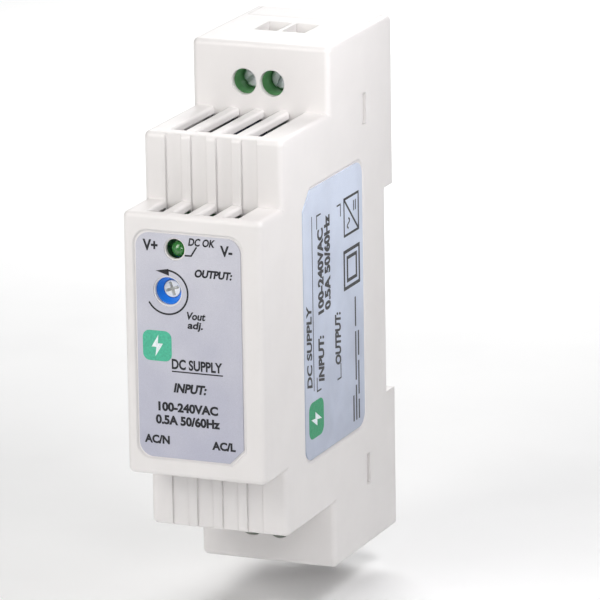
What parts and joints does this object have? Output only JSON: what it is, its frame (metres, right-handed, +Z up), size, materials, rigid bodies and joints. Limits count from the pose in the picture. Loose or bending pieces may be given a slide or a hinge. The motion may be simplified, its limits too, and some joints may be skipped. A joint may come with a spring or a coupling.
{
  "type": "din rail power supply",
  "caption": "Slim stepped power supply for a 35 mm rail, with screw terminals top and bottom, a status light, a trimmer and a sprung rail latch.",
  "frame": {"origin": "point of the rail seat that the middle of the rail touches, at mid-width", "axes": "+Z up along the unit's height, +Y towards the rail, so the front faces -Y, and +X to the right seen from the front"},
  "size_m": [0.025, 0.0575, 0.0935],
  "materials": {
    "housing_plastic": "fine satin texture, warm off-white",
    "latch_plastic": "satin",
    "spring_steel": "drawn wire",
    "front_label_film": "printed silver-grey film",
    "side_label_film": "printed silver-blue film",
    "terminal_green": "moulded, slightly glossy",
    "zinc_screw": "zinc plated",
    "nickel_cage": "nickel plated",
    "tinned_brass": "tinned",
    "led_green": "tinted clear epoxy",
    "trimmer_blue": "moulded",
    "trimmer_white": "moulded",
    "board_green": "solder mask",
    "solder": "bright solder",
    "film_sheet": "thin polyester",
    "dark_epoxy": "moulded epoxy",
    "disc_green": "dipped",
    "disc_blue": "dipped",
    "box_yellow": "moulded box",
    "ferrite": "sintered",
    "copper_wire": "enamelled",
    "can_sleeve": "shrink sleeve",
    "bobbin_black": "moulded phenolic",
    "tape_yellow": "wrapped polyester tape",
    "sink_aluminium": "sheared plate",
    "resistor_coat": "lacquered",
    "chip_ceramic": "ceramic"
  },
  "bodies": {
    "root": {"housing_shell": "housing_plastic", "rear_base": "housing_plastic", "latch_spring": "spring_steel", "front_label": "front_label_film", "side_label": "side_label_film", "output_terminal": "terminal_green", "input_terminal": "terminal_green", "rectifier_screw": "zinc_screw", "rectifier_nut": "zinc_screw", "output_contacts": "tinned_brass", "input_contacts": "tinned_brass", "status_led": "led_green", "trimmer_body": "trimmer_blue", "main_board": "board_green", "control_board": "board_green", "solder_joints": "solder", "insulation_sheet": "film_sheet", "bridge_rectifier": "dark_epoxy", "optocoupler": "dark_epoxy", "output_rectifier": "dark_epoxy", "switcher_ic": "dark_epoxy", "smd_resistors": "dark_epoxy", "fuse": "dark_epoxy", "inrush_thermistor": "disc_green", "varistor": "disc_blue", "y_capacitor": "disc_blue", "x_capacitor": "box_yellow", "input_choke_core": "ferrite", "output_choke_core": "ferrite", "transformer_core": "ferrite", "input_choke_winding": "copper_wire", "output_choke_winding": "copper_wire", "bulk_capacitor": "can_sleeve", "output_capacitors": "can_sleeve", "transformer_bobbin": "bobbin_black", "transformer_winding": "tape_yellow", "output_heatsink": "sink_aluminium", "preload_resistor": "resistor_coat", "smd_capacitors": "chip_ceramic"},
    "din_latch": {"din_latch": "latch_plastic"},
    "trimmer_rotor": {"trimmer_rotor": "trimmer_white"},
    "output_screw_plus": {"output_screw_plus": "zinc_screw"},
    "output_clamp_plus": {"output_clamp_plus": "nickel_cage"},
    "output_screw_minus": {"output_screw_minus": "zinc_screw"},
    "output_clamp_minus": {"output_clamp_minus": "nickel_cage"},
    "input_screw_neutral": {"input_screw_neutral": "zinc_screw"},
    "input_clamp_neutral": {"input_clamp_neutral": "nickel_cage"},
    "input_screw_live": {"input_screw_live": "zinc_screw"},
    "input_clamp_live": {"input_clamp_live": "nickel_cage"}
  },
  "joints": [
    {"name": "latch_slide", "type": "slide", "parent": "root", "child": "din_latch", "axis": [0, 0, -1], "range_m": [0, 0.004], "stiffness_N_per_m": 900, "springref_m": -0.0015, "deforming": ["latch_spring"]},
    {"name": "trimmer_turn", "type": "hinge", "parent": "root", "child": "trimmer_rotor", "pos_m": [-0.00455, -0.0509, 0.0109], "axis": [0, 1, 0], "range_deg": [-120, 120]},
    {"name": "output_screw_plus_turn", "type": "hinge", "parent": "root", "child": "output_screw_plus", "pos_m": [-0.00304, -0.0177, 0.0401], "axis": [0, 1, 0], "range_deg": [0, 2160]},
    {"name": "output_clamp_plus_rise", "type": "slide", "parent": "root", "child": "output_clamp_plus", "axis": [0, -1, 0], "range_m": [0, 0.003]},
    {"name": "output_screw_minus_turn", "type": "hinge", "parent": "root", "child": "output_screw_minus", "pos_m": [0.00204, -0.0177, 0.0401], "axis": [0, 1, 0], "range_deg": [0, 2160]},
    {"name": "output_clamp_minus_rise", "type": "slide", "parent": "root", "child": "output_clamp_minus", "axis": [0, -1, 0], "range_m": [0, 0.003]},
    {"name": "input_screw_neutral_turn", "type": "hinge", "parent": "root", "child": "input_screw_neutral", "pos_m": [-0.00304, -0.0177, -0.0371], "axis": [0, 1, 0], "range_deg": [0, 2160]},
    {"name": "input_clamp_neutral_rise", "type": "slide", "parent": "root", "child": "input_clamp_neutral", "axis": [0, -1, 0], "range_m": [0, 0.003]},
    {"name": "input_screw_live_turn", "type": "hinge", "parent": "root", "child": "input_screw_live", "pos_m": [0.00204, -0.0177, -0.0371], "axis": [0, 1, 0], "range_deg": [0, 2160]},
    {"name": "input_clamp_live_rise", "type": "slide", "parent": "root", "child": "input_clamp_live", "axis": [0, -1, 0], "range_m": [0, 0.003]}
  ],
  "couplings": [
    {"joint": "output_screw_plus_turn", "follows": "output_clamp_plus_rise", "rad_per_m": 12566},
    {"joint": "output_screw_minus_turn", "follows": "output_clamp_minus_rise", "rad_per_m": 12566},
    {"joint": "input_screw_neutral_turn", "follows": "input_clamp_neutral_rise", "rad_per_m": 12566},
    {"joint": "input_screw_live_turn", "follows": "input_clamp_live_rise", "rad_per_m": 12566}
  ]
}
